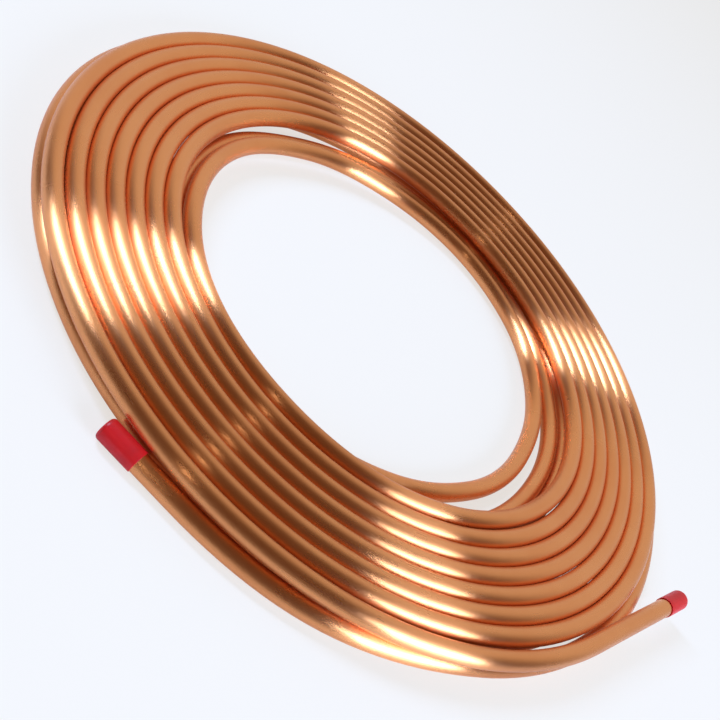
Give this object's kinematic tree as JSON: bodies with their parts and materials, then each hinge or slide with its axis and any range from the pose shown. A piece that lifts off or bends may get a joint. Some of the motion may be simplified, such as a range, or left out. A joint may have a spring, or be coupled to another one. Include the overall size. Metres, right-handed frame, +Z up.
{
  "type": "copper tube coil",
  "caption": "Flat double-layer coil of soft copper tube with a straight tail and a push-on plastic cap on each tube end.",
  "frame": {"origin": "on the floor, on the axis of the upper layer of turns", "axes": "+Z up, out of the coil's flat face; +X towards the straight tail with the end cap; -Y towards the start cap, which lies on the floor"},
  "size_m": [0.4226, 0.4039, 0.0196],
  "materials": {
    "copper": "bright drawn copper",
    "cap_plastic": "satin red"
  },
  "bodies": {
    "root": {"copper_tube_coil": "copper", "start_cap": "cap_plastic", "end_cap": "cap_plastic"}
  },
  "joints": []
}
